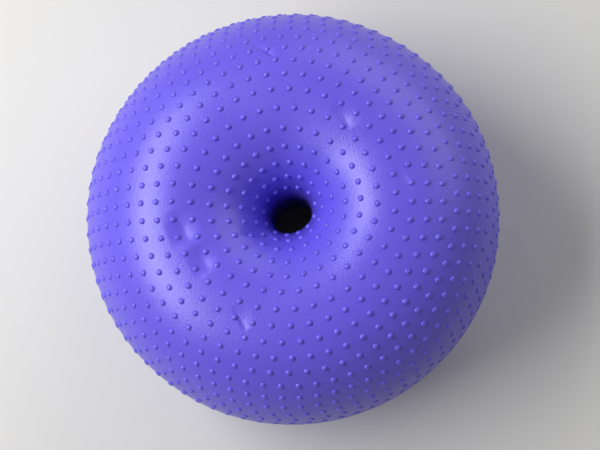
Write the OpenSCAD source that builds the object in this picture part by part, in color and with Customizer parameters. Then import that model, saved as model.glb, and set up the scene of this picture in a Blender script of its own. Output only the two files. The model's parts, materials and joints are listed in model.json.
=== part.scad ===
// Inflatable massage ring: a soft hollow ring with round nubs all over, a narrow hole through the middle
// and an air valve low on its outer side. It lies flat, with the floor at z = 0 and its axis along +Z.

/* [Ring] */
// Outside diameter of the blown-up ring, over the skin
ring_d = 500; // [440:5:560]
// Height of the blown-up ring, over the skin
ring_h = 250; // [230:5:280]
// Narrowest width of the hole through the middle
throat_d = 44; // [36:1:80]
// Thickness of the skin
wall = 2; // [1.5:0.1:3]
// Depth to which the underside is pressed flat where the ring rests
rest_drop = 0.6; // [0.3:0.1:1]
// Width of the raised mould line round the outside and in the throat
mould_line_w = 1.6; // [0.8:0.1:2]

/* [Nubs] */
// Width of a nub where it leaves the skin
nub_d = 6.5; // [5:0.5:9]
// Height of a nub above the skin
nub_h = 1.8; // [1.2:0.1:3]
// Depth of a nub's root in the skin
nub_root = 0.6; // [0.4:0.1:1]
// Distance along the skin from the crown to the row nearest it, towards the throat
crown_row = 0.6; // [0:0.1:8]
// Distance from one row of nubs to the next, along the skin outside the crown
row_pitch = 18; // [15:0.5:24]
// Distance from one row of nubs to the next, along the skin inside the crown
funnel_row_pitch = 20.6; // [15:0.1:24]
// Distance between the nubs of a row, at the crown
nub_pitch = 20.85; // [16:0.05:24]
// Distance between the nubs of a row, at the outer mid-height
flank_pitch = 19.3; // [16:0.1:24]
// Distance between the nubs of a row, in the throat
throat_pitch = 11.6; // [10:0.1:18]
// Length of skin without nubs, from the throat's mid-height to its last row
throat_plain = 55; // [30:1:90]
// Direction, seen from above, in which every row has its first nub
nub_turn = 156; // [0:1:359]

/* [Valve] */
// Direction of the valve, seen from above
valve_turn = -62; // [-180:1:180]
// Angle of the valve below the ring's mid-height
valve_below = 35; // [20:1:50]
// Diameter of the bore that the plug's ribs fill
bore_d = 10; // [8:0.5:12]
// Gap between the ribs and the bore, all round
plug_fit = 0.05; // [0.02:0.01:0.1]
// Diameter of the plug's head
head_d = 16; // [14:0.5:18]
// Thickness of the plug's head
head_t = 2; // [1.5:0.1:3]
// Gap beside the plug's head
head_gap = 0.5; // [0.3:0.1:1]
// Gap under the plug's head
head_lift = 0.2; // [0.1:0.1:0.5]
// Length of the plug's shank, under the head
shank_l = 20; // [16:1:26]
// Thickness of the seat's tube round the bore
seat_wall = 4; // [3:0.5:6]
// Width of the seat's collar beside the plug's head
collar_w = 4.5; // [3:0.5:6]
// Width of the seat's flange outside the collar
flange_w = 5; // [4:0.5:8]
// Thickness of the seat's flange
flange_t = 3; // [2:0.5:4]
// Depth of the collar's face below the skin
collar_sink = 0.8; // [0.5:0.1:1.2]
// Distance between the valve and the nearest nubs
valve_margin = 5; // [4:0.5:10]

/* [Hidden] */

vinyl = "#7468E0";
vinyl_deep = "#6A5FD2";
stopper_white = "#F2F0EA";

// The section of the ring: one round outside, two smaller rounds inside and a short straight throat
round_r = ring_h / 2;
crown_r = ring_d / 2 - round_r;
throat_r = throat_d / 2;
funnel_r = min(crown_r - throat_r, round_r);
funnel_c = throat_r + funnel_r;
throat_half = round_r - funnel_r;
mid_z = round_r - rest_drop;

// Lengths along the upper half of the section, from the outer mid-height to the throat's
outer_len = round_r * PI / 2;
crown_len = crown_r - funnel_c;
funnel_len = funnel_r * PI / 2;
half_len = outer_len + crown_len + funnel_len + throat_half;
top_row = outer_len + crown_row;
outer_rows = [for (arc = [top_row : -row_pitch : row_pitch / 2]) arc];
funnel_rows = [for (arc = [top_row + funnel_row_pitch : funnel_row_pitch : half_len - throat_plain]) arc];
rows = concat(outer_rows, funnel_rows);

// Steepness of the skin where the nubs pass from flank to shoulder, and from shoulder to crown
flank_angle = 36;
shoulder_angle = 78;
inside_angle = 180;

// Radius of the ball that a nub's dome is cut from
dome_r = (nub_d * nub_d / 4 + nub_h * nub_h) / (2 * nub_h);

bore_r = bore_d / 2;
head_r = head_d / 2;
rib_r = 0.6;
ribs = 3;
shank_r = bore_r - rib_r;
pocket_r = head_r + head_gap;
collar_r = pocket_r + collar_w;
flange_outer_r = collar_r + flange_w;
flange_depth = wall + flange_t + flange_outer_r * flange_outer_r / (2 * round_r);
head_floor = -collar_sink - head_t;
seat_end = head_floor - shank_l;
notch_rim = 0.5;
notch_r = collar_w - notch_rim;
ring_facets = 180;
valve_facets = 64;
slack = 1;

function turn_of(arc, radius) = arc / radius * 180 / PI;

// Place on the upper half of the skin, as [distance from the axis, height, direction the skin faces]
function skin_place(arc) =
  arc < outer_len ? outer_place(turn_of(arc, round_r)) :
  arc < outer_len + crown_len ? [crown_r - (arc - outer_len), round_r, 90] :
  arc < half_len - throat_half ? funnel_place(turn_of(arc - outer_len - crown_len, funnel_r)) :
  [throat_r, half_len - arc, 180];
function outer_place(a) = [crown_r + round_r * cos(a), round_r * sin(a), a];
function funnel_place(a) = [funnel_c - funnel_r * sin(a), throat_half + funnel_r * cos(a), 90 + a];

// Nub spacing widens from the throat to the crown, fast at first, and narrows a little from there outwards
function spacing(r) = r > crown_r ?
  nub_pitch + (flank_pitch - nub_pitch) * (r - crown_r) / round_r :
  throat_pitch + (nub_pitch - throat_pitch) * sqrt((r - throat_r) / (crown_r - throat_r));
function nubs_in_row(r) = round(2 * PI * r / spacing(r));

valve_place_r = crown_r + round_r * cos(valve_below);
valve_place_z = -round_r * sin(valve_below);
function around(r, turn, z) = [r * cos(turn), r * sin(turn), z];
valve_point = around(valve_place_r, valve_turn, valve_place_z);
valve_clear = flange_outer_r + valve_margin;
function clear_of_valve(point) = norm(point - valve_point) > valve_clear;

// Half of the ring's section, shrunk by inset
module section(inset = 0) {
  intersection() {
    translate([crown_r, 0]) circle(round_r - inset, $fn = ring_facets);
    translate([crown_r, -round_r]) square([round_r, ring_h]);
  }
  for (side = [-1, 1])
    intersection() {
      translate([funnel_c, side * throat_half]) circle(funnel_r - inset, $fn = ring_facets);
      translate([throat_r, side > 0 ? throat_half : -round_r]) square(funnel_r);
    }
  translate([throat_r + inset, -throat_half]) square([funnel_r - inset, 2 * throat_half]);
  if (crown_len > 0)
    translate([funnel_c, inset - round_r]) square([crown_len, ring_h - 2 * inset]);
}

// Small round beads where the two halves of the mould meet
module mould_lines() {
  for (r = [throat_r, ring_d / 2])
    translate([r, 0]) circle(d = mould_line_w, $fn = 24);
}

// What lies under the floor
module below_floor() {
  translate([0, -round_r - slack]) square([ring_d, slack + rest_drop]);
}

module lift() {
  translate([0, 0, mid_z]) children();
}

// Stands children on the skin at the valve, with their +Z pointing out of the ring
module at_valve() {
  rotate([0, 0, valve_turn])
    translate([valve_place_r, 0, valve_place_z])
      rotate([0, 90 + valve_below, 0]) children();
}

// A rod on the valve's axis between two heights
module valve_rod(radius, from, to) {
  translate([0, 0, from]) cylinder(h = to - from, r = radius, $fn = valve_facets);
}

module skin() {
  color(vinyl)
    lift()
      difference() {
        rotate_extrude($fn = ring_facets)
          difference() {
            union() {
              section();
              mould_lines();
            }
            section(wall);
            below_floor();
          }
        at_valve() valve_rod(collar_r, -flange_depth, flange_depth);
      }
}

module valve_seat() {
  color(vinyl_deep)
    lift()
      difference() {
        union() {
          at_valve() valve_rod(collar_r, -flange_depth, -collar_sink);
          intersection() {
            at_valve() valve_rod(flange_outer_r, -flange_depth, 0);
            rotate_extrude($fn = ring_facets) section(wall);
          }
          at_valve() valve_rod(bore_r + seat_wall, seat_end, -flange_depth);
        }
        at_valve() {
          valve_rod(bore_r, seat_end - slack, 0);
          valve_rod(pocket_r, head_floor, slack);
          translate([pocket_r, 0, 0]) sphere(notch_r, $fn = valve_facets);
        }
      }
}

// Half outline of the plug, on its axis, with the head in the collar's pocket
module plug_outline() {
  edge_r = head_t / 2;
  head_z = head_floor + head_lift;
  tip_l = 2 * rib_r;
  tip_z = head_z - shank_l;
  translate([0, head_z]) square([head_r - edge_r, head_t]);
  translate([head_r - edge_r, head_z + edge_r]) circle(edge_r, $fn = 32);
  translate([0, tip_z + tip_l]) square([shank_r, shank_l - tip_l]);
  polygon([[0, tip_z], [shank_r - tip_l, tip_z], [shank_r, tip_z + tip_l], [0, tip_z + tip_l]]);
  for (i = [1 : ribs])
    translate([bore_r - plug_fit - rib_r, head_z - shank_l * i / (ribs + 1)]) circle(rib_r, $fn = 24);
}

module valve_plug() {
  color(stopper_white)
    lift()
      at_valve()
        rotate_extrude($fn = valve_facets) plug_outline();
}

// One nub, standing on the skin with its root sunk in it
module nub() {
  rotate_extrude($fn = 16)
    intersection() {
      translate([0, nub_h - dome_r]) circle(dome_r, $fn = 24);
      translate([0, -nub_root]) square([nub_d, nub_root + nub_h]);
    }
}

// One row of nubs round the ring, above (side 1) or below (side -1) mid-height
module nub_row(place, side) {
  count = nubs_in_row(place[0]);
  for (i = [0 : count - 1]) {
    turn = nub_turn + 360 * i / count;
    if (clear_of_valve(around(place[0], turn, side * place[1])))
      rotate([0, 0, turn])
        translate([place[0], 0, side * place[1]])
          rotate([0, 90 - side * place[2], 0]) nub();
  }
}

// All rows where the skin is clear of the floor and its steepness is between two limits
module nub_zone(from, to, side) {
  color(vinyl)
    lift()
      for (arc = rows) {
        place = skin_place(arc);
        in_zone = place[2] >= from && place[2] < to + (to == inside_angle ? slack : 0);
        if (in_zone && mid_z + side * place[1] > 0)
          nub_row(place, side);
      }
}

module crown_nubs() { nub_zone(shoulder_angle, inside_angle, 1); }
module upper_shoulder_nubs() { nub_zone(flank_angle, shoulder_angle, 1); }
module upper_flank_nubs() { nub_zone(0, flank_angle, 1); }
module lower_flank_nubs() { nub_zone(0, flank_angle, -1); }
module lower_shoulder_nubs() { nub_zone(flank_angle, shoulder_angle, -1); }

// The nubs that the floor presses on end at the floor
module base_nubs() {
  color(vinyl)
    difference() {
      nub_zone(shoulder_angle, inside_angle, -1);
      translate([-ring_d / 2, -ring_d / 2, -ring_h]) cube([ring_d, ring_d, ring_h]);
    }
}

skin();
valve_seat();
valve_plug();
crown_nubs();
upper_shoulder_nubs();
upper_flank_nubs();
lower_flank_nubs();
lower_shoulder_nubs();
base_nubs();
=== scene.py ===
# %% [markdown]
# # An inflatable massage ring
#
# The object is a blown-up ring of soft violet vinyl, about half a metre across, with small round nubs all
# over it and a narrow hole through the middle. An air valve with a white plug sits low on its outer side.
# A CAD model gives the sizes and the one joint, by which the plug pulls out. This lesson builds the looks
# around that fixed frame: the skin with its fold marks, the nubs, the valve, the finishes, and a studio.

# %% Load the fixed frame
import json
import math

import bmesh
import bpy
from mathutils import Matrix, Vector


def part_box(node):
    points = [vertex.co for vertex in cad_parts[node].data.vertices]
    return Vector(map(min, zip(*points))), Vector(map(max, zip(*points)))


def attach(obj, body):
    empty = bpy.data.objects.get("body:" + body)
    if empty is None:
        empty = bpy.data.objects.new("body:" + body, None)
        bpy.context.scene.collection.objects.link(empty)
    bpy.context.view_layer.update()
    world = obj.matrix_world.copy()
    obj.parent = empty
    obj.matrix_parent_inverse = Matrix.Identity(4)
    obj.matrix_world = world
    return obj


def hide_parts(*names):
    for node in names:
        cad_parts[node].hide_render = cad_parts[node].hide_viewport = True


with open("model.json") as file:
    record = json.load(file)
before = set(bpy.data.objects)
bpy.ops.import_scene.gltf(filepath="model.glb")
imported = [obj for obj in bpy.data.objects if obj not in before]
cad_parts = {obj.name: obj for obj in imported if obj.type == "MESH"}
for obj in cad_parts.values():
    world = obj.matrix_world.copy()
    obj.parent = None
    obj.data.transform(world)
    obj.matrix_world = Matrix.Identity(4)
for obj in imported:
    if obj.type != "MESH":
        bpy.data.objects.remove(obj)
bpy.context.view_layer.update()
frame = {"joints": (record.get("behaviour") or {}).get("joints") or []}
MM = 0.001

# %% [markdown]
# ## The ring's own measures
#
# Every later step needs the ring's section: a large round outside, two smaller rounds that run down into
# the hole, and a short straight throat between them. The skin's box in the frame gives the outer sizes,
# so only what a box can't tell is written here.

# %% Measures of the ring
_, skin_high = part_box("skin")
MOULD_LINE = 0.8 * MM  # height of the line where the two halves of the mould met
REST_DROP = 0.6 * MM  # how far the underside is pressed flat on the floor
THROAT_R = 22 * MM
WALL = 2 * MM

ROUND_R = (skin_high.z + REST_DROP) / 2
OUTER_R = skin_high.x - MOULD_LINE
CROWN_R = OUTER_R - ROUND_R
FUNNEL_R = CROWN_R - THROAT_R
THROAT_HALF = ROUND_R - FUNNEL_R
MID_Z = ROUND_R - REST_DROP

OUTER_LEN = ROUND_R * math.pi / 2
FUNNEL_LEN = FUNNEL_R * math.pi / 2
HALF_LEN = OUTER_LEN + FUNNEL_LEN + THROAT_HALF
print("outer radius", OUTER_R, "crown radius", CROWN_R, "half section length", HALF_LEN)

# %% [markdown]
# ## Places on the skin
#
# A place on the skin is named by two numbers: its arc, which is the distance along the section from the
# outer mid-height, positive upwards, and its turn, which is the direction seen from above. One function
# turns an arc into a point of the section, and another does the reverse, for vertices that exist already.

# %% Section of the ring
def section_place(arc, inset=0.0):
    """Distance from the axis, height and facing angle of the skin at an arc."""
    way = 1 if arc >= 0 else -1
    along = abs(arc)
    if along < OUTER_LEN:
        facing = along / ROUND_R
        r = CROWN_R + (ROUND_R - inset) * math.cos(facing)
        height = (ROUND_R - inset) * math.sin(facing)
    elif along < OUTER_LEN + FUNNEL_LEN:
        facing = math.pi / 2 + (along - OUTER_LEN) / FUNNEL_R
        r = CROWN_R + (FUNNEL_R - inset) * math.cos(facing)
        height = THROAT_HALF + (FUNNEL_R - inset) * math.sin(facing)
    else:
        facing = math.pi
        r = THROAT_R + inset
        height = HALF_LEN - along
    return r, MID_Z + way * height, way * facing


def arc_of(r, z):
    """Arc of a point that lies on the ideal section."""
    height = z - MID_Z
    way = 1 if height >= 0 else -1
    if r >= CROWN_R:
        return way * ROUND_R * math.atan2(abs(height), r - CROWN_R)
    if abs(height) > THROAT_HALF:
        return way * (OUTER_LEN + FUNNEL_R * math.atan2(CROWN_R - r, abs(height) - THROAT_HALF))
    return way * (HALF_LEN - abs(height))


for test_arc in (-300, -40, 90, 250, 370):
    test_r, test_z, _ = section_place(test_arc * MM)
    print("arc", test_arc, "comes back as", round(arc_of(test_r, test_z) / MM, 3))

# %% [markdown]
# ## Fold marks
#
# A ring of this kind is sold folded flat, and the folds stay in the soft vinyl as short curved valleys with
# a sharp bottom line. They could be painted, but a valley has to catch the light from any side, so each one
# moves the skin itself. A fold is a line of places on the skin, a depth, and how wide the valley is on its
# outer and on its inner side. It fades out at both ends, and may be deepest nearer to its last place. The
# bottom is sharp where the vinyl is creased, and softer where it only buckled.

# %% Fold marks of the skin
VALLEY_POWER = 1.5  # how much steeper a fold's sides get towards its bottom
MARK_POWER = 4  # how closely the pale mark keeps to the bottom


def turned(angle):
    """An angle brought into the half turn either side of zero."""
    return (angle + math.pi) % (2 * math.pi) - math.pi


class Fold:
    """A curved valley along a line of places, each an arc in mm and a turn in degrees."""

    def __init__(self, places, depth, outer, inner, late=1.0, soft=0.5):
        self.places = [(arc * MM, math.radians(turn)) for arc, turn in places]
        self.depth = depth * MM
        self.outer = outer * MM
        self.inner = inner * MM
        self.late = late
        self.soft = soft * MM
        self.reach = max(self.outer, self.inner)
        self.span = turned(self.places[-1][1] - self.places[0][1])
        self.middle = self.places[0][1] + self.span / 2
        self.low = min(arc for arc, _ in self.places) - self.reach
        self.high = max(arc for arc, _ in self.places) + self.reach

    def nearest(self, arc, turn, r):
        """Distance from the line, whether the place is on its inner side, and how far along it is."""
        if not self.low < arc < self.high or abs(turned(turn - self.middle)) > math.pi / 2:
            return None
        best = None
        steps = len(self.places) - 1
        ends = [(turned(t - turn) * r, a - arc) for a, t in self.places]
        for i in range(steps):
            (ax, ay), (bx, by) = ends[i], ends[i + 1]
            dx, dy = bx - ax, by - ay
            share = min(1, max(0, -(ax * dx + ay * dy) / (dx * dx + dy * dy)))
            x, y = ax + share * dx, ay + share * dy
            gap = math.hypot(x, y)
            if gap < self.reach and (best is None or gap < best[0]):
                inner = self.span * (dx * y - dy * x) < 0
                best = (gap, inner, (i + share) / steps)
        return best

    def rounded(self, gap):
        """A distance from the line, eased so that the bottom of the valley is round."""
        return math.hypot(gap, self.soft) - self.soft

    def lift(self, arc, turn, r):
        """How far the fold moves the skin outwards at a place, and how strongly it marks it."""
        found = self.nearest(arc, turn, r)
        if found is None:
            return 0.0, 0.0
        gap, inner, along = found
        fade = math.sin(math.pi * along**self.late)
        share = self.rounded(gap) / self.rounded(self.inner if inner else self.outer)
        valley = fade * max(0, 1 - share) ** VALLEY_POWER
        return -self.depth * valley, valley**MARK_POWER


FOLDS = [
    Fold(
        [
            (102, 85), (111, 82), (121, 79.3), (131, 76.4),
            (139.5, 73.7), (147, 71.3), (153, 69.3), (159, 67.7),
        ],
        depth=2.6,
        outer=12,
        inner=4.5,
        late=2.4,
    ),
    Fold(
        [(207, 38), (207, 34), (208, 30.4), (209.5, 27), (212, 23.5), (215, 20.5)],
        depth=2.8,
        outer=20,
        inner=5,
        late=1.3,
    ),
    Fold(
        [(192, 348.5), (187.5, 345), (184, 342), (181, 339), (178, 336.7)],
        depth=1.6,
        outer=5,
        inner=10,
    ),
    Fold(
        [(198, 160), (202.5, 165.3), (205, 170.6), (206, 176), (205.5, 181)],
        depth=4.4,
        outer=20,
        inner=22,
        late=1.3,
        soft=3,
    ),
    Fold(
        [(209.5, 183), (210, 188), (209.5, 192.6), (207.5, 197), (205.5, 201)],
        depth=3.6,
        outer=18,
        inner=20,
        soft=3,
    ),
    Fold(
        [(190, 219.7), (184.5, 222.7), (179, 225.5), (174.5, 227.4), (169.5, 229.7)],
        depth=1.8,
        outer=4.5,
        inner=16,
        late=1.4,
    ),
    Fold(
        [(263.8, 183.9), (272.4, 189), (281.6, 194.7), (290.7, 202), (298.3, 210.3), (305, 221)],
        depth=5,
        outer=4.5,
        inner=20,
        late=1.8,
    ),
]


def fold_at(arc, turn, r):
    """Sum of all folds at a place: lift of the skin, and how worn the line is."""
    lift, mark = 0.0, 0.0
    for fold in FOLDS:
        lifted, marked = fold.lift(arc, turn, r)
        lift += lifted
        mark = max(mark, marked)
    return lift, mark


# %% [markdown]
# ## How the ring settles
#
# A blown-up skin is never as true as its mould. Its neck sits a few millimetres off the middle and is a
# little oval, and above mid-height the skin swells unevenly. All are small, so plain formulas give them.

# %% The settled skin
NECK_SHIFT = Vector((0, -4.7, 0)) * MM
NECK_BLEND = 60 * MM  # length of skin over which the shift comes in
NECK_WIDER, NECK_OVAL = 0.8 * MM, 2.2 * MM
NECK_TURN = math.radians(3)  # direction of the oval neck's long way
SWELL = 0.5 * MM
SWELL_WAVES = ((5, 3.1, 0.0), (8, -4.3, 1.7))  # each a count round the ring, a slant and a start
SWELL_RISE, SWELL_START = 2.2, 0.6


def eased(share):
    """A share from 0 to 1 that starts and ends gently."""
    share = min(1, max(0, share))
    return share * share * (3 - 2 * share)


def settled(arc, turn):
    """How far the skin is moved sideways at a place."""
    deep = abs(arc) - OUTER_LEN
    wider = NECK_WIDER + NECK_OVAL * math.cos(2 * (turn - NECK_TURN))
    oval = Vector((math.cos(turn), math.sin(turn), 0)) * (wider * eased(deep / (HALF_LEN - OUTER_LEN)))
    return NECK_SHIFT * eased(deep / NECK_BLEND) + oval


def swell(arc, turn):
    """Uneven swelling of the skin."""
    along = arc / ROUND_R
    waves = sum(math.sin(count * turn + slant * along + start) for count, slant, start in SWELL_WAVES)
    return SWELL * waves * math.sin(SWELL_RISE * along + SWELL_START) / len(SWELL_WAVES)


def skin_point(arc, turn):
    """Point on the settled skin, and the direction that it faces."""
    r, z, facing = section_place(arc)
    flat = Vector((math.cos(turn), math.sin(turn), 0))
    outward = flat * math.cos(facing) + Vector((0, 0, math.sin(facing)))
    lift = fold_at(arc, turn, r)[0] + (swell(arc, turn) if 0 < arc < HALF_LEN - THROAT_HALF else 0)
    point = flat * r + Vector((0, 0, z)) + outward * lift + settled(arc, turn)
    point.z = max(point.z, 0.0)
    return point, outward


# %% [markdown]
# ## One place for colours, nodes and objects
#
# Colours are written as the hex values that a picture shows. The shader works in linear light, so one
# function turns them round. Others add a shader node with its settings and links, mix two colours, turn a
# bmesh into a mesh, and put an object in the scene.

# %% Helpers for finishes
WHITE = (1, 1, 1, 1)
MIX_FIRST, MIX_SECOND, MIX_RESULT = 6, 7, 2  # numbers of the colour sockets on Blender's mix node


def linear(hex_colour):
    """A hex colour as linear RGBA."""
    parts = [int(hex_colour[i : i + 2], 16) / 255 for i in (1, 3, 5)]
    return [c / 12.92 if c <= 0.04045 else ((c + 0.055) / 1.055) ** 2.4 for c in parts] + [1.0]


def feed(owner, node, inputs):
    """Fills a node's inputs; each gets a value, or the socket that feeds it."""
    for name, value in inputs.items():
        if isinstance(value, bpy.types.NodeSocket):
            owner.node_tree.links.new(value, node.inputs[name])
        else:
            node.inputs[name].default_value = value


def add_node(owner, kind, settings=None, inputs=None):
    """Adds a shader node to a material or a world."""
    node = owner.node_tree.nodes.new(kind)
    for name, value in (settings or {}).items():
        setattr(node, name, value)
    feed(owner, node, inputs or {})
    return node


def mixed(owner, factor, first, second):
    """Socket with a mix of two colours."""
    inputs = {"Factor": factor, MIX_FIRST: first, MIX_SECOND: second}
    return add_node(owner, "ShaderNodeMix", {"data_type": "RGBA"}, inputs).outputs[MIX_RESULT]


def new_finish(name):
    """An empty node material and its shader."""
    material = bpy.data.materials.new(name)
    material.use_nodes = True
    return material, material.node_tree.nodes["Principled BSDF"]


# %% Helpers for meshes and objects
def as_mesh(bm, name):
    """Turns a bmesh into a mesh and frees it."""
    mesh = bpy.data.meshes.new(name)
    bm.to_mesh(mesh)
    bm.free()
    return mesh


def placed(name, data):
    """A new object in the scene that shows this data."""
    thing = bpy.data.objects.new(name, data)
    bpy.context.scene.collection.objects.link(thing)
    return thing


# %% [markdown]
# ## Soft vinyl
#
# The skin is plasticised PVC, spun in a hot mould. It comes out with a satin face: broad soft highlights
# with no mirror image, over a fine grain from the mould. Folding leaves slightly paler lines, painted shade
# darkens the colour deep in the throat, and on one flank the skin is stretched into fine ripples.
# The real grain is finer than the picture can show, so it is drawn at 2.4 mm, where it breaks up the
# highlights as it does in the photograph.

# %% Soft vinyl finish
VINYL_COLOUR = "#6B5CEC"
VINYL_DEEP = "#6254DE"
VINYL_WORN = "#9288F6"
# painted shade: the colour that the deep throat is darkened towards
VINYL_THROAT_SHADE = "#1E1866"
FOLD_PALENESS = 0.08
SATIN = {"To Min": 0.34, "To Max": 0.44}  # range of the roughness
VINYL_IOR = 1.53
VINYL_SPECULAR = 0.65
GRAIN_SIZE = 2.4 * MM
GRAIN_HEIGHT = 0.35 * MM
MOTTLE_SIZE = 60 * MM
RIPPLE_WAY = Vector((0.43, 0.90, 0.10))
RIPPLE_SIZE = 4.6 * MM
RIPPLE_HEIGHT = 0.2 * MM
RIPPLE_WANDER = 9.0  # how far the mottle bends the ripples, in radians

vinyl, vinyl_shader = new_finish("soft_vinyl_satin")
place = add_node(vinyl, "ShaderNodeTexCoord").outputs["Object"]
mottle = add_node(
    vinyl,
    "ShaderNodeTexNoise",
    inputs={"Vector": place, "Scale": 1 / MOTTLE_SIZE, "Detail": 3.0, "Roughness": 0.55},
)
body_colour = mixed(vinyl, mottle.outputs["Fac"], linear(VINYL_DEEP), linear(VINYL_COLOUR))
fold_mark = add_node(vinyl, "ShaderNodeAttribute", {"attribute_name": "fold_mark"})
worn = add_node(
    vinyl, "ShaderNodeMath", {"operation": "MULTIPLY"}, {0: fold_mark.outputs["Fac"], 1: FOLD_PALENESS}
)
worn_colour = mixed(vinyl, worn.outputs[0], body_colour, linear(VINYL_WORN))
# painted shade: the skin's colour is darkened deep in the throat
throat_shade_node = add_node(vinyl, "ShaderNodeAttribute", {"attribute_name": "painted_throat_shade"})
skin_colour = mixed(vinyl, throat_shade_node.outputs["Fac"], worn_colour, linear(VINYL_THROAT_SHADE))
gloss = add_node(vinyl, "ShaderNodeMapRange", inputs={"Value": mottle.outputs["Fac"], **SATIN})

# %% Grain and ripples of the vinyl
grain = add_node(
    vinyl, "ShaderNodeTexNoise", inputs={"Vector": place, "Scale": 1 / GRAIN_SIZE, "Detail": 2.0}
)
grain_bump = add_node(
    vinyl,
    "ShaderNodeBump",
    inputs={"Height": grain.outputs["Fac"], "Strength": 1.0, "Distance": GRAIN_HEIGHT},
)
across = add_node(
    vinyl,
    "ShaderNodeVectorMath",
    {"operation": "DOT_PRODUCT"},
    {0: place, 1: RIPPLE_WAY.normalized() * (2 * math.pi / RIPPLE_SIZE)},
)
wander = add_node(
    vinyl,
    "ShaderNodeMath",
    {"operation": "MULTIPLY_ADD"},
    {0: mottle.outputs["Fac"], 1: RIPPLE_WANDER, 2: across.outputs["Value"]},
)
ripple = add_node(vinyl, "ShaderNodeMath", {"operation": "SINE"}, {0: wander.outputs[0]})
stretched = add_node(vinyl, "ShaderNodeAttribute", {"attribute_name": "stretched"})
ripple_height = add_node(
    vinyl,
    "ShaderNodeMath",
    {"operation": "MULTIPLY"},
    {0: ripple.outputs[0], 1: stretched.outputs["Fac"]},
)
bump = add_node(
    vinyl,
    "ShaderNodeBump",
    inputs={
        "Height": ripple_height.outputs[0],
        "Strength": 1.0,
        "Distance": RIPPLE_HEIGHT,
        "Normal": grain_bump.outputs["Normal"],
    },
)
vinyl_look = {
    "Base Color": skin_colour,
    "Roughness": gloss.outputs["Result"],
    "Normal": bump.outputs["Normal"],
    "IOR": VINYL_IOR,
    "Specular IOR Level": VINYL_SPECULAR,
}
feed(vinyl, vinyl_shader, vinyl_look)
print("vinyl has", len(vinyl.node_tree.nodes), "nodes")

# %% [markdown]
# ## The skin
#
# The real skin is one hollow shell. A torus primitive would have the wrong section, so the section is drawn
# as a closed line and spun round the axis. Only the fold marks need a fine mesh, so the faces near them are
# divided first. Then every vertex moves to its place on the settled skin.

# %% Spin the skin
AROUND = 256
ARC_STEP = 4.6 * MM
LINE_STEPS = [0.0, 0.4 * MM, 0.8 * MM, 1.3 * MM, 2.0 * MM]  # finer steps beside a mould line
FOLD_CUTS = 4
WELD_GAP = 0.005 * MM


def section_arcs(step):
    """Arcs of the section's points, from the outer mid-height over the top and back underneath."""
    count = round(HALF_LEN / step)
    half = LINE_STEPS + [HALF_LEN * i / count for i in range(1, count)]
    half += [HALF_LEN - gap for gap in reversed(LINE_STEPS)]
    return half + [-arc for arc in reversed(half[1:-1])]


def lathe(outline, sides, unit=1.0, closed=False):
    """A mesh turned about the Z axis from an outline of distances from the axis and heights."""
    bm = bmesh.new()
    line = [bm.verts.new((r * unit, 0, h * unit)) for r, h in outline]
    edges = [bm.edges.new(pair) for pair in zip(line, line[1:])]
    if closed:
        edges.append(bm.edges.new((line[-1], line[0])))
    bmesh.ops.spin(
        bm,
        geom=line + edges,
        cent=(0, 0, 0),
        axis=(0, 0, 1),
        angle=2 * math.pi,
        steps=sides,
        use_merge=True,
    )
    bmesh.ops.remove_doubles(bm, verts=bm.verts, dist=WELD_GAP)
    bmesh.ops.recalc_face_normals(bm, faces=bm.faces)
    return bm


def spun_ring(arcs, around, inset=0.0):
    """A closed ring mesh, spun from the section at these arcs."""
    return lathe([section_place(arc, inset)[:2] for arc in arcs], around, closed=True)


def place_of(co):
    """Arc, turn and distance from the axis of a point on the ideal skin."""
    r = math.hypot(co.x, co.y)
    return arc_of(r, co.z), math.atan2(co.y, co.x), r


def near_a_fold(face):
    """Whether a face lies in the valley of a fold."""
    place = place_of(face.calc_center_median())
    return any(fold.nearest(*place) for fold in FOLDS)


skin_bm = spun_ring(section_arcs(ARC_STEP), AROUND)
fold_edges = {edge for face in skin_bm.faces if near_a_fold(face) for edge in face.edges}
bmesh.ops.subdivide_edges(skin_bm, edges=list(fold_edges), cuts=FOLD_CUTS, use_grid_fill=True)
print("skin mesh:", len(skin_bm.verts), "vertices,", len(skin_bm.faces), "faces")

# %% Move the skin to its place
STRETCH_ARC, STRETCH_TURN = 72 * MM, math.radians(3)
STRETCH_LENGTH, STRETCH_WIDTH = 34 * MM, math.radians(5)
# reach from the throat's mid-height, and greatest share, of the painted shade in the throat
THROAT_SHADE_REACH, MOST_THROAT_SHADE = 95 * MM, 0.85
LINE_SPREAD = 0.8 * MM
THROAT_LINE, THROAT_LINE_SPREAD = 2 * MOULD_LINE, 1.0 * MM


def mould_line(arc):
    """Height of the mould line at an arc: it runs at mid-height, outside and, fuller, in the throat."""
    inner_gap = HALF_LEN - abs(arc)
    if inner_gap < abs(arc):
        return THROAT_LINE * math.exp(-((inner_gap / THROAT_LINE_SPREAD) ** 2))
    return MOULD_LINE * math.exp(-((abs(arc) / LINE_SPREAD) ** 2))


def stretch_at(arc, turn):
    """How strongly the skin is stretched into ripples at a place."""
    along = (arc - STRETCH_ARC) / STRETCH_LENGTH
    beside = turned(turn - STRETCH_TURN) / STRETCH_WIDTH
    return math.exp(-(along**4) - beside**4)


def painted_throat_shade_at(arc):
    """How much painted shade darkens the colour at an arc: most at the throat's mid-height, none beyond its
    reach.
    """
    return MOST_THROAT_SHADE * eased(1 - (HALF_LEN - abs(arc)) / THROAT_SHADE_REACH)


fold_marks = skin_bm.verts.layers.float.new("fold_mark")
stretches = skin_bm.verts.layers.float.new("stretched")
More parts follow.
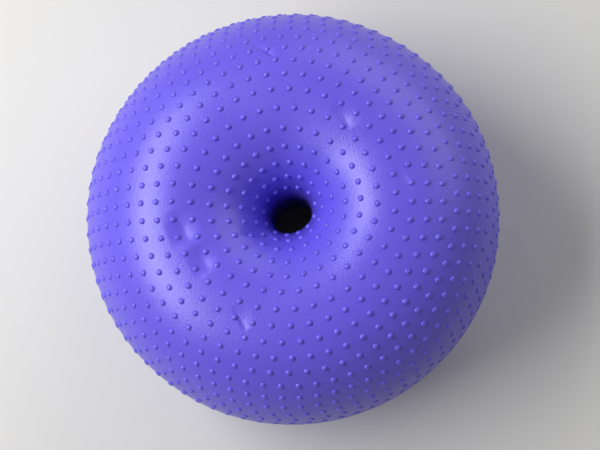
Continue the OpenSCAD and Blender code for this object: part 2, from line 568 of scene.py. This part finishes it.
# painted shade in the throat, stored on each vertex for the vinyl finish
throat_shade_layer = skin_bm.verts.layers.float.new("painted_throat_shade")
for vert in skin_bm.verts:
    arc, turn, r = place_of(vert.co)
    point, outward = skin_point(arc, turn)
    vert[fold_marks] = max(fold_at(arc, turn, r)[1], mould_line(arc) / MOULD_LINE)
    vert[stretches] = stretch_at(arc, turn)
    vert[throat_shade_layer] = painted_throat_shade_at(arc)
    vert.co = point + outward * mould_line(arc)

# %% [markdown]
# ## The hole for the valve, and the inside of the skin
#
# The valve's seat is bonded into a round hole in the skin. The frame's one joint gives the valve's
# direction. The faces there are divided, those inside the hole are deleted, and its edge is drawn onto a
# circle. The inside of the skin is a second, plainer spun ring with the same hole, kept under the folds, and
# the two edges are bridged, so that the skin is one closed wall.

# %% Open the valve's hole
COLLAR_R = 13 * MM
HOLE_REACH = 2 * COLLAR_R  # how far round the valve the faces are divided
SKIN_HOLE_CUTS, INSIDE_HOLE_CUTS = 2, 5
INSIDE_AROUND = 128
INSIDE_STEP = 11 * MM

pull = Vector(frame["joints"][0]["axis"]).normalized()
VALVE_TURN = math.atan2(pull.y, pull.x)
VALVE_ARC = -ROUND_R * math.asin(-pull.z)
valve_point, _ = skin_point(VALVE_ARC, VALVE_TURN)


def from_valve_axis(point):
    """Vector from the valve's axis to a point."""
    offset = point - valve_point
    return offset - pull * offset.dot(pull)


def near_valve(bm):
    """Faces of a mesh that lie round the valve."""
    return [f for f in bm.faces if (f.calc_center_median() - valve_point).length < HOLE_REACH]


def open_valve_hole(bm, cuts):
    """Opens the hole and draws its edge onto a circle."""
    edges = list({edge for face in near_valve(bm) for edge in face.edges})
    bmesh.ops.subdivide_edges(bm, edges=edges, cuts=cuts, use_grid_fill=True)
    inside = [f for f in near_valve(bm) if from_valve_axis(f.calc_center_median()).length < COLLAR_R]
    bmesh.ops.delete(bm, geom=inside, context="FACES")
    rim = [edge for edge in bm.edges if edge.is_boundary]
    for vert in {vert for edge in rim for vert in edge.verts}:
        off = from_valve_axis(vert.co)
        vert.co += off * (COLLAR_R / off.length - 1)


def deepest_near(arc, turn, r):
    """Lowest lift of the folds within one step of the coarser inside, so that it stays under them."""
    steps = (-INSIDE_STEP, 0.0, INSIDE_STEP)
    return min(fold_at(arc + up, turn + along / r, r)[0] for up in steps for along in steps)


inside_bm = spun_ring(section_arcs(INSIDE_STEP), INSIDE_AROUND, WALL)
for vert in inside_bm.verts:
    arc, turn, r = place_of(vert.co)
    outward = skin_point(arc, turn)[1]
    vert.co += settled(arc, turn) + outward * deepest_near(arc, turn, r)
    vert.co.z = max(vert.co.z, WALL)
open_valve_hole(inside_bm, INSIDE_HOLE_CUTS)
inside_mesh = as_mesh(inside_bm, "skin_inside")

open_valve_hole(skin_bm, SKIN_HOLE_CUTS)
skin_bm.from_mesh(inside_mesh)
bpy.data.meshes.remove(inside_mesh)
rims = [edge for edge in skin_bm.edges if edge.is_boundary]
bmesh.ops.bridge_loops(skin_bm, edges=rims)
for edge in rims:
    edge.smooth = False
bmesh.ops.recalc_face_normals(skin_bm, faces=skin_bm.faces)
print("open edges left in the skin:", sum(edge.is_boundary for edge in skin_bm.edges))

# %% Finish the skin
def finished(bm, name, material, body="ring"):
    """Makes a smooth-shaded piece of a bmesh and lets it ride on a body."""
    for face in bm.faces:
        face.smooth = True
    mesh = as_mesh(bm, name)
    mesh.materials.append(material)
    piece = placed(name, mesh)
    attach(piece, body)
    return piece


skin = finished(skin_bm, "ring_skin", vinyl)
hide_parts("skin")
skin.data.calc_loop_triangles()
print("skin has", len(skin.data.loop_triangles), "triangles")

# %% [markdown]
# ## The nubs
#
# The nubs are small domes moulded with the skin, in rows that run round the ring. Each row has as many as
# fit at an even spacing, and all rows start from one direction, so there they line up. One dome is spun from
# five points, with a flared foot that runs out into the skin, and is then copied to every place.

# %% One nub
NUB_SIDES = 12
NUB_OUTLINE = [(0.0, 2.35), (1.75, 2.1), (2.9, 1.3), (3.4, 0.38), (3.7, -0.12)]
NUB_H = NUB_OUTLINE[0][1] * MM

nub_bm = lathe(NUB_OUTLINE, NUB_SIDES, MM)
bmesh.ops.holes_fill(nub_bm, edges=[e for e in nub_bm.edges if e.is_boundary])
bmesh.ops.recalc_face_normals(nub_bm, faces=nub_bm.faces)
nub_mesh = as_mesh(nub_bm, "nub_pattern")
print("one nub:", len(nub_mesh.polygons), "faces")

# %% Rows of nubs
CROWN_ROW = 0.6 * MM  # from the crown to the row nearest it, towards the throat
ROW_PITCH = 18 * MM
FUNNEL_ROW_PITCH = 20.6 * MM
NUB_PITCH = 20.85 * MM
FLANK_PITCH = 19.3 * MM
THROAT_PITCH = 11.6 * MM
THROAT_PLAIN = 55 * MM  # length of skin without nubs, from the throat's mid-height to its last row
NUB_TURN = math.radians(156)  # direction in which every row has its first nub
FLANK_NUB = 0.55  # height of the nubs at mid-height, where the skin is stretched most, against those on top
FLANK_ANGLE = math.radians(36)
SHOULDER_ANGLE = math.radians(78)
INSIDE_ANGLE = math.radians(181)
VALVE_CLEAR = 23 * MM
LEAST_NUB = 0.05  # share of its height that a nub over the floor needs to be made


def row_arcs():
    """Arcs of the rows above mid-height, from the crown outwards and then from the crown inwards."""
    top = OUTER_LEN + CROWN_ROW
    outside = [top - ROW_PITCH * i for i in range(int((top - ROW_PITCH / 2) / ROW_PITCH) + 1)]
    room = HALF_LEN - THROAT_PLAIN - top
    return outside + [top + FUNNEL_ROW_PITCH * (i + 1) for i in range(int(room / FUNNEL_ROW_PITCH))]


def nubs_in_row(r):
    """Number of nubs that fit round the ring at this distance from the axis."""
    if r > CROWN_R:
        spacing = NUB_PITCH + (FLANK_PITCH - NUB_PITCH) * (r - CROWN_R) / ROUND_R
    else:
        share = (r - THROAT_R) / (CROWN_R - THROAT_R)
        spacing = THROAT_PITCH + (NUB_PITCH - THROAT_PITCH) * math.sqrt(share)
    return round(2 * math.pi * r / spacing)


def nub_places(steep_from, steep_to, side):
    """Matrix, facing and settling of each nub whose skin is between two steepnesses, above or below."""
    for arc in row_arcs():
        r, _, facing = section_place(arc)
        count = nubs_in_row(r) if steep_from <= facing < steep_to else 0
        for i in range(count):
            turn = NUB_TURN + 2 * math.pi * i / count
            point, outward = skin_point(side * arc, turn)
            low = FLANK_NUB + (1 - FLANK_NUB) * min(1, facing / SHOULDER_ANGLE)
            room = min(low, point.z / -outward.z / NUB_H) if outward.z < 0 else low
            if (point - valve_point).length > VALVE_CLEAR and room > LEAST_NUB:
                upright = Vector((0, 0, 1)).rotation_difference(outward).to_matrix().to_4x4()
                matrix = Matrix.Translation(point) @ upright @ Matrix.Diagonal((1, 1, room, 1))
                yield matrix, outward, settled(arc, turn)


def drape(verts, foot, outward, moved):
    """Bends a nub, which settling has moved, along with the fold that it stands in."""
    here = fold_at(*place_of(foot - moved))[0]
    for vert in verts:
        vert.co += outward * (fold_at(*place_of(vert.co - moved))[0] - here)


ZONES = {
    "crown_nubs": (SHOULDER_ANGLE, INSIDE_ANGLE, 1),
    "upper_shoulder_nubs": (FLANK_ANGLE, SHOULDER_ANGLE, 1),
    "upper_flank_nubs": (0, FLANK_ANGLE, 1),
    "lower_flank_nubs": (0, FLANK_ANGLE, -1),
    "lower_shoulder_nubs": (FLANK_ANGLE, SHOULDER_ANGLE, -1),
    "base_nubs": (SHOULDER_ANGLE, INSIDE_ANGLE, -1),
}
for node, zone in ZONES.items():
    zone_bm = bmesh.new()
    made = 0
    for matrix, outward, moved in nub_places(*zone):
        zone_bm.from_mesh(nub_mesh)
        zone_bm.verts.ensure_lookup_table()
        nub_verts = zone_bm.verts[-len(nub_mesh.vertices) :]
        bmesh.ops.transform(zone_bm, matrix=matrix, verts=nub_verts)
        drape(nub_verts, matrix.translation, outward, moved)
        made += 1
    for vert in zone_bm.verts:
        vert.co.z = max(vert.co.z, 0.0)
    piece = finished(zone_bm, "moulded_" + node, vinyl)
    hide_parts(node)
    print(node, "has", made, "nubs")
bpy.data.meshes.remove(nub_mesh)

# %% [markdown]
# ## The valve's two finishes
#
# The seat is the same soft vinyl as the skin, but cast against a polished core, so it is smooth and a shade
# deeper. The plug is natural polyethylene: milky white, waxy, and a little translucent, so light spreads
# under its surface for about a millimetre.

# %% Finishes of the valve
SEAT_COLOUR = "#5A4DD6"
SEAT_DEEP = "#4F43C4"
STOPPER_COLOUR = "#F3F1EC"
STOPPER_DEEP = "#E6E2D6"
SEAT_GLOSS = {"To Min": 0.28, "To Max": 0.36}
STOPPER_GLOSS = {"To Min": 0.36, "To Max": 0.46}
STOPPER_IOR = 1.51
CLOUD_SIZE = 6 * MM
WAX_SIZE = 0.8 * MM
WAX_HEIGHT = 0.03 * MM
MILKY_SHARE, MILKY_DEPTH = 0.4, 1.2 * MM
MILKY_TINT = (1.0, 0.9, 0.75)  # red light spreads furthest


def clouded_finish(name, deep, pale, gloss_range):
    """A plain moulded finish whose colour and gloss drift a little."""
    material, shader = new_finish(name)
    coords = add_node(material, "ShaderNodeTexCoord").outputs["Object"]
    cloud = add_node(material, "ShaderNodeTexNoise", inputs={"Vector": coords, "Scale": 1 / CLOUD_SIZE})
    rough = add_node(material, "ShaderNodeMapRange", inputs={"Value": cloud.outputs["Fac"], **gloss_range})
    wax = add_node(material, "ShaderNodeTexNoise", inputs={"Vector": coords, "Scale": 1 / WAX_SIZE})
    relief = add_node(
        material, "ShaderNodeBump", inputs={"Height": wax.outputs["Fac"], "Distance": WAX_HEIGHT}
    )
    look = {
        "Base Color": mixed(material, cloud.outputs["Fac"], linear(deep), linear(pale)),
        "Roughness": rough.outputs["Result"],
        "Normal": relief.outputs["Normal"],
    }
    feed(material, shader, look)
    return material, shader


seat_vinyl, seat_shader = clouded_finish("smooth_valve_vinyl", SEAT_DEEP, SEAT_COLOUR, SEAT_GLOSS)
feed(seat_vinyl, seat_shader, {"IOR": VINYL_IOR})
polyethylene, stopper_shader = clouded_finish(
    "milky_polyethylene", STOPPER_DEEP, STOPPER_COLOUR, STOPPER_GLOSS
)
milky_look = {
    "IOR": STOPPER_IOR,
    "Subsurface Weight": MILKY_SHARE,
    "Subsurface Radius": MILKY_TINT,
    "Subsurface Scale": MILKY_DEPTH,
}
feed(polyethylene, stopper_shader, milky_look)
print("valve finishes:", seat_vinyl.name, "and", polyethylene.name)

# %% [markdown]
# ## The valve
#
# Both pieces are turned from an outline, with the skin's outside at height zero. The seat has a collar that
# fills the hole in the skin, a pocket for the plug's head, a flange bonded under the skin and a tube round
# the bore. Its edges are rounded, as in a soft moulding. A finger notch beside the pocket is pressed into
# the collar by lowering the points inside a ball.

# %% Seat
VALVE_SIDES = 96
SKIN_GAP = 0.1  # glue line between the flange and the skin
FLANGE_R, FLANGE_FOOT = 18.0, -6.3
COLLAR_FACE = -0.8
POCKET_R, POCKET_FLOOR = 8.5, -2.8
BORE_R, TUBE_R, TUBE_END = 5.0, 9.0, -22.8
NOTCH_R, NOTCH_FLOOR = 4.0, -2.6
UNDER_SKIN_AT = (FLANGE_R, 16.5, 15.0, 13.8)
FLANGE_EDGE, TUBE_FILLET, COLLAR_EDGE, MOUTH_EDGE, POCKET_FILLET = 0.4, 0.6, 0.5, 0.3, 0.15
EDGE_STEPS, MOUTH_STEPS, FILLET_STEPS, FACE_STEPS = 4, 3, 2, 12
NOTCH_SLACK = 0.01  # keeps the pocket's own edge among the points that the notch lowers


def under_skin(r):
    """Height of the skin's inside over the flange, which follows the ring's round."""
    return -WALL / MM - SKIN_GAP - r * r / (2 * ROUND_R / MM)


def bow(r, height, size, start, end, steps):
    """Points of a round edge, from one angle in degrees to another."""
    angles = [math.radians(start + (end - start) * i / steps) for i in range(steps + 1)]
    return [(r + size * math.cos(a), height + size * math.sin(a)) for a in angles]


collar_r = COLLAR_R / MM
face_from, face_to = collar_r - COLLAR_EDGE, POCKET_R + MOUTH_EDGE
face_step = (face_to - face_from) / FACE_STEPS
seat_outline = bow(TUBE_R - FLANGE_EDGE, TUBE_END + FLANGE_EDGE, FLANGE_EDGE, -90, 0, EDGE_STEPS)
seat_outline += bow(TUBE_R + TUBE_FILLET, FLANGE_FOOT - TUBE_FILLET, TUBE_FILLET, 180, 90, EDGE_STEPS)
seat_outline += bow(FLANGE_R - FLANGE_EDGE, FLANGE_FOOT + FLANGE_EDGE, FLANGE_EDGE, -90, 0, EDGE_STEPS)
seat_outline += [(r, under_skin(r)) for r in (*UNDER_SKIN_AT, collar_r)]
seat_outline += bow(face_from, COLLAR_FACE - COLLAR_EDGE, COLLAR_EDGE, 0, 90, EDGE_STEPS)
seat_outline += [(face_from + face_step * i, COLLAR_FACE) for i in range(1, FACE_STEPS)]
seat_outline += bow(face_to, COLLAR_FACE - MOUTH_EDGE, MOUTH_EDGE, 90, 180, MOUTH_STEPS)
seat_outline += bow(
    POCKET_R - POCKET_FILLET, POCKET_FLOOR + POCKET_FILLET, POCKET_FILLET, 0, -90, FILLET_STEPS
)
seat_outline += bow(BORE_R + MOUTH_EDGE, POCKET_FLOOR - MOUTH_EDGE, MOUTH_EDGE, 90, 180, MOUTH_STEPS)
seat_outline += [(BORE_R, TUBE_END + FLANGE_EDGE), (BORE_R + FLANGE_EDGE, TUBE_END)]

valve_upright = Vector((0, 0, 1)).rotation_difference(pull).to_matrix().to_4x4()
valve_place = Matrix.Translation(valve_point) @ valve_upright
notch_at = valve_upright.inverted() @ from_valve_axis(valve_point + Vector((0, 0, -1))).normalized()
notch_at *= POCKET_R * MM

seat_bm = lathe(seat_outline, VALVE_SIDES, MM, closed=True)
for vert in seat_bm.verts:
    beside = math.hypot(vert.co.x - notch_at.x, vert.co.y - notch_at.y) / MM
    outside_pocket = vert.co.xy.length > (POCKET_R - NOTCH_SLACK) * MM
    if vert.co.z > NOTCH_FLOOR * MM and beside < NOTCH_R and outside_pocket:
        dish = max(NOTCH_FLOOR, -math.sqrt(NOTCH_R**2 - beside**2))
        vert.co.z = min(vert.co.z, dish * MM)
bmesh.ops.transform(seat_bm, matrix=valve_place, verts=seat_bm.verts)
print("open edges left in the seat:", sum(edge.is_boundary for edge in seat_bm.edges))
seat = finished(seat_bm, "valve_bushing", seat_vinyl)
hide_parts("valve_seat")

# %% [markdown]
# ## The plug
#
# The plug has a rounded head with a shallow dish in its face, three ribs that grip the bore, and a tapered
# tip. It rides on its own body, so it comes out of the seat when the joint moves.

# %% Plug
PLUG_SIDES = 64
RIB_R, RIB_SINK, RIB_ANGLE, RIB_STEPS = 0.6, 0.05, 85, 10
RIBS_AT = (-7.6, -12.6, -17.6)
SHANK_R = 4.4
SHANK_FILLET = 0.4
SHANK_TOP = [(SHANK_R + SHANK_FILLET, -2.6), (SHANK_R, -3.0)]
HEAD_FACE = [(0.0, -0.9), (0.5, -0.9), (0.7, -1.0), (4.6, -1.0), (5.2, -0.92), (5.8, -0.68), (6.3, -0.6)]
HEAD_R, HEAD_MID, HEAD_EDGE, HEAD_STEPS = 7.0, -1.6, 1.0, 12
TIP = [(SHANK_R, -21.4), (4.1, -21.9), (3.2, -22.6), (0.0, -22.6)]

plug_outline = HEAD_FACE + bow(HEAD_R, HEAD_MID, HEAD_EDGE, 90, -90, HEAD_STEPS) + SHANK_TOP
for rib_height in RIBS_AT:
    plug_outline += bow(SHANK_R - RIB_SINK, rib_height, RIB_R, RIB_ANGLE, -RIB_ANGLE, RIB_STEPS)
plug_outline += TIP

plug_bm = lathe(plug_outline, PLUG_SIDES, MM)
bmesh.ops.transform(plug_bm, matrix=valve_place, verts=plug_bm.verts)
print("open edges left in the plug:", sum(edge.is_boundary for edge in plug_bm.edges))
plug = finished(plug_bm, "valve_stopper", polyethylene, "plug")
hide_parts("valve_plug")

# %% [markdown]
# ## Camera
#
# The photograph looks down from 79 degrees above the horizon, with the camera turned about its own line of
# sight, so the ring's near side is at the lower right. The distance and the lens come from how the rows of
# nubs crowd together towards the edge.

# %% Camera
VIEW_HEIGHT = math.radians(79.0)
VIEW_ROLL = math.radians(25.85)
VIEW_DISTANCE = 1250 * MM
PHOTO_WIDTH, PHOTO_HEIGHT = 600, 450
FOCAL_PIXELS = 1020
RING_CENTRE_PIXEL = (292.0, 216.2)
SENSOR_MM = 36

camera_data = bpy.data.cameras.new("photo_camera")
camera_data.sensor_width = SENSOR_MM
camera_data.lens = SENSOR_MM * FOCAL_PIXELS / PHOTO_WIDTH
camera = placed("photo_camera", camera_data)
bpy.context.scene.camera = camera

back = Vector((0, -math.cos(VIEW_HEIGHT), math.sin(VIEW_HEIGHT)))
level = Vector((1, 0, 0))
steep = back.cross(level)
image_right = level * math.cos(VIEW_ROLL) - steep * math.sin(VIEW_ROLL)
image_up = level * math.sin(VIEW_ROLL) + steep * math.cos(VIEW_ROLL)
ring_centre = Vector((0, 0, MID_Z))
eye = ring_centre + back * VIEW_DISTANCE
pixel = VIEW_DISTANCE / FOCAL_PIXELS
aim = ring_centre + image_right * (PHOTO_WIDTH / 2 - RING_CENTRE_PIXEL[0]) * pixel
aim -= image_up * (PHOTO_HEIGHT / 2 - RING_CENTRE_PIXEL[1]) * pixel
back_aim = (eye - aim).normalized()
right_aim = image_up.cross(back_aim).normalized()
up_aim = back_aim.cross(right_aim)
turn_matrix = Matrix((right_aim, up_aim, back_aim)).transposed().to_4x4()
camera.matrix_world = Matrix.Translation(eye) @ turn_matrix
print("lens", round(camera_data.lens, 1), "mm")

# %% [markdown]
# ## Studio
#
# The photograph has soft daylight from the upper left. A wide lamp stands for the bright band of sky that
# the sheen shows, a weaker one fills in the right side, and the world sheds a little light from all
# round. The floor and the backdrop are plain and pale. The camera and reflections see them paler than the
# light that they send back to the object, so that its shaded side stays as deep as it is over grass.

# %% Floor and light
FLOOR_COLOUR = "#E4E3E0"
FLOOR_BOUNCE = "#D0D0CC"
FLOOR_ROUGHNESS = 0.9
FLOOR_GLOW = 0.42  # light that only the camera sees the floor give off, so that it stays pale far away
GLOW_FROM, GLOW_TO = 0.8, 4.0  # metres from the ring's axis over which the glow comes in
FLOOR_SIZE = 40.0
LAMP_DISTANCE = 1.9
LAMPS = {
    "sky_lamp": {"turn": 150, "height": 49, "width": 2.1, "depth": 0.6, "power": 38},
    "fill_lamp": {"turn": 24, "height": 28, "width": 2.4, "depth": 1.2, "power": 13},
}
WORLD_LIGHT = 0.13  # what the world sheds on the object
WORLD_SHOWN = 0.5  # the pale backdrop that the camera and reflections see


def seen_directly(owner):
    """Socket that is 1 for rays from the camera, from gloss or through glass, and 0 for shed light."""
    rays = add_node(owner, "ShaderNodeLightPath").outputs
    seen = rays["Is Camera Ray"]
    for kind in ("Is Glossy Ray", "Is Transmission Ray"):
        either = add_node(owner, "ShaderNodeMath", {"operation": "MAXIMUM"}, {0: seen, 1: rays[kind]})
        seen = either.outputs[0]
    return seen


floor_bm = bmesh.new()
bmesh.ops.create_grid(floor_bm, x_segments=1, y_segments=1, size=FLOOR_SIZE / 2)
floor_mesh = as_mesh(floor_bm, "floor")
floor_finish, floor_shader = new_finish("pale_floor")
shown = seen_directly(floor_finish)
floor_place = add_node(floor_finish, "ShaderNodeTexCoord").outputs["Object"]
far = add_node(floor_finish, "ShaderNodeVectorMath", {"operation": "LENGTH"}, {0: floor_place})
glow_span = {"From Min": GLOW_FROM, "From Max": GLOW_TO, "To Max": FLOOR_GLOW}
glow = add_node(floor_finish, "ShaderNodeMapRange", inputs={"Value": far.outputs["Value"], **glow_span})
floor_glow = add_node(
    floor_finish, "ShaderNodeMath", {"operation": "MULTIPLY"}, {0: shown, 1: glow.outputs["Result"]}
)
floor_look = {
    "Base Color": mixed(floor_finish, shown, linear(FLOOR_BOUNCE), linear(FLOOR_COLOUR)),
    "Roughness": FLOOR_ROUGHNESS,
    "Emission Color": WHITE,
    "Emission Strength": floor_glow.outputs[0],
}
feed(floor_finish, floor_shader, floor_look)
floor_mesh.materials.append(floor_finish)
floor = placed("floor", floor_mesh)

for lamp_name, lamp in LAMPS.items():
    lamp_data = bpy.data.lights.new(lamp_name, "AREA")
    lamp_data.shape = "RECTANGLE"
    lamp_data.size = lamp["width"]
    lamp_data.size_y = lamp["depth"]
    lamp_data.energy = lamp["power"]
    lamp_object = placed(lamp_name, lamp_data)
    turn, height = math.radians(lamp["turn"]), math.radians(lamp["height"])
    beside = Vector((-math.sin(turn), math.cos(turn), 0))
    flat = Vector((math.cos(turn), math.sin(turn), 0))
    toward = flat * math.cos(height) + Vector((0, 0, math.sin(height)))
    facing = Matrix((beside, toward.cross(beside), toward)).transposed().to_4x4()
    lamp_object.matrix_world = Matrix.Translation(ring_centre + toward * LAMP_DISTANCE) @ facing
    print(lamp_name, "shines from", [round(v, 2) for v in toward])

world = bpy.data.worlds.new("soft_sky")
world.use_nodes = True
backdrop = world.node_tree.nodes["Background"]
strength = add_node(
    world,
    "ShaderNodeMapRange",
    inputs={"Value": seen_directly(world), "To Min": WORLD_LIGHT, "To Max": WORLD_SHOWN},
)
feed(world, backdrop, {"Color": WHITE, "Strength": strength.outputs["Result"]})
bpy.context.scene.world = world
bpy.context.scene.view_settings.view_transform = "Standard"
